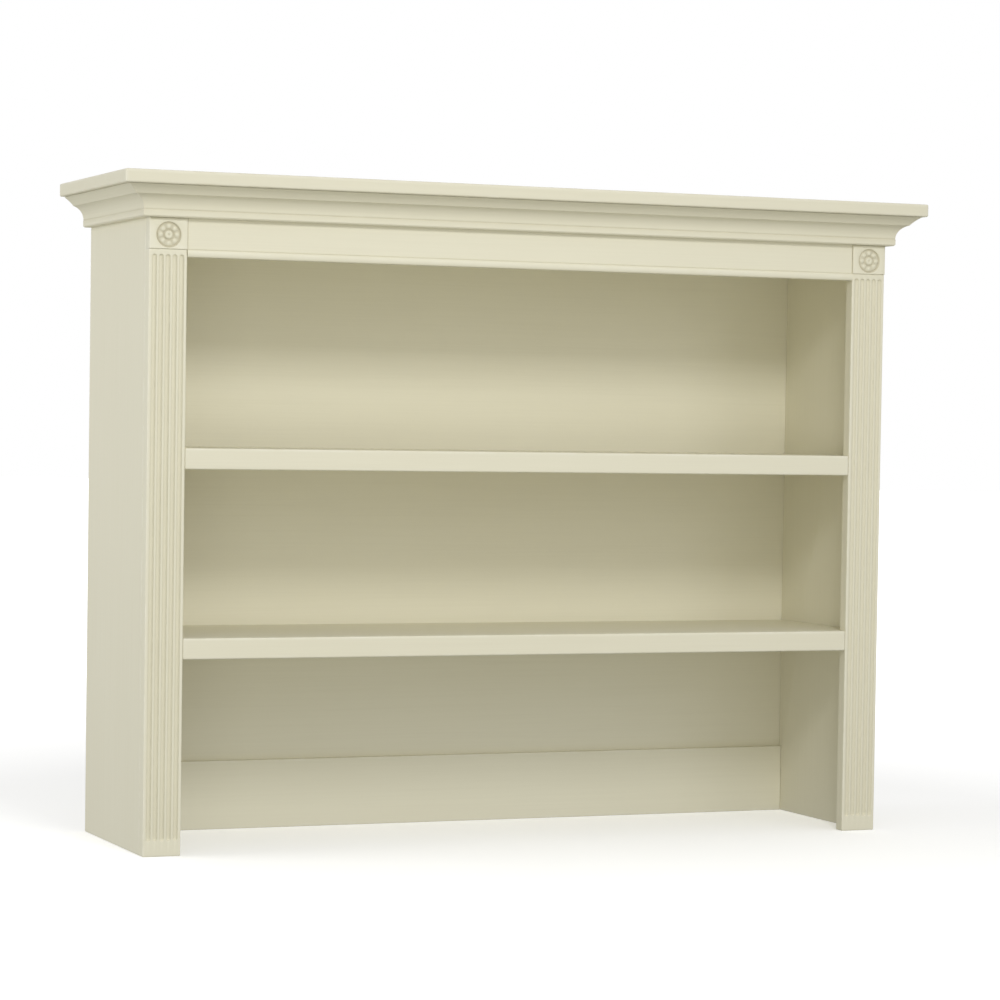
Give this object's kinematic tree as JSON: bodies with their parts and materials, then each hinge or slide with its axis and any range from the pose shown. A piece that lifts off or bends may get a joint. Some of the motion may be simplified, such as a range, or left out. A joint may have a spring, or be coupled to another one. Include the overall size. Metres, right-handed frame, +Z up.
{
  "type": "desk hutch",
  "caption": "Open desk hutch with fixed shelves, fluted stiles with rosette blocks, a beaded frieze and a mitred crown moulding under a square-edged cap board.",
  "frame": {"origin": "centre of the outline at the bottom, on the desk top that the hutch stands on", "axes": "+X to the viewer's right along the width, +Y from the open front to the back, +Z up"},
  "size_m": [1.27, 0.3556, 0.965],
  "materials": {
    "cream_paint": "antique cream paint on wood, satin, with faint brush marks",
    "painted_panel": "cream paint on thin wood-based panel, eggshell",
    "bare_wood": "bare planed hardwood",
    "zinc_steel": "bright zinc plate, satin"
  },
  "bodies": {
    "root": {"back_panel": "painted_panel", "back_screw_left_high": "zinc_steel", "back_screw_left_low": "zinc_steel", "back_screw_left_middle": "zinc_steel", "back_screw_lower_rail_left": "zinc_steel", "back_screw_lower_rail_middle": "zinc_steel", "back_screw_lower_rail_right": "zinc_steel", "back_screw_right_high": "zinc_steel", "back_screw_right_low": "zinc_steel", "back_screw_right_middle": "zinc_steel", "back_screw_upper_rail_left": "zinc_steel", "back_screw_upper_rail_middle": "zinc_steel", "back_screw_upper_rail_right": "zinc_steel", "cap_board": "cream_paint", "ceiling_board": "cream_paint", "ceiling_dowel_left_back": "bare_wood", "ceiling_dowel_left_front": "bare_wood", "ceiling_dowel_right_back": "bare_wood", "ceiling_dowel_right_front": "bare_wood", "corner_block_back_left": "bare_wood", "corner_block_back_right": "bare_wood", "corner_block_front_left": "bare_wood", "corner_block_front_right": "bare_wood", "crown_front": "cream_paint", "crown_left": "cream_paint", "crown_right": "cream_paint", "desk_plate_left": "zinc_steel", "desk_plate_right": "zinc_steel", "desk_plate_screw_left_lower": "zinc_steel", "desk_plate_screw_left_upper": "zinc_steel", "desk_plate_screw_right_lower": "zinc_steel", "desk_plate_screw_right_upper": "zinc_steel", "frieze_bead": "cream_paint", "frieze_rail": "cream_paint", "lower_back_rail": "cream_paint", "lower_shelf_board": "cream_paint", "lower_shelf_dowel_left_back": "bare_wood", "lower_shelf_dowel_left_front": "bare_wood", "lower_shelf_dowel_right_back": "bare_wood", "lower_shelf_dowel_right_front": "bare_wood", "lower_shelf_nosing": "cream_paint", "rosette_block_left": "cream_paint", "rosette_block_right": "cream_paint", "side_panel_left": "cream_paint", "side_panel_right": "cream_paint", "stile_left": "cream_paint", "stile_right": "cream_paint", "upper_back_rail": "cream_paint", "upper_shelf_board": "cream_paint", "upper_shelf_dowel_left_back": "bare_wood", "upper_shelf_dowel_left_front": "bare_wood", "upper_shelf_dowel_right_back": "bare_wood", "upper_shelf_dowel_right_front": "bare_wood", "upper_shelf_nosing": "cream_paint"}
  },
  "joints": []
}
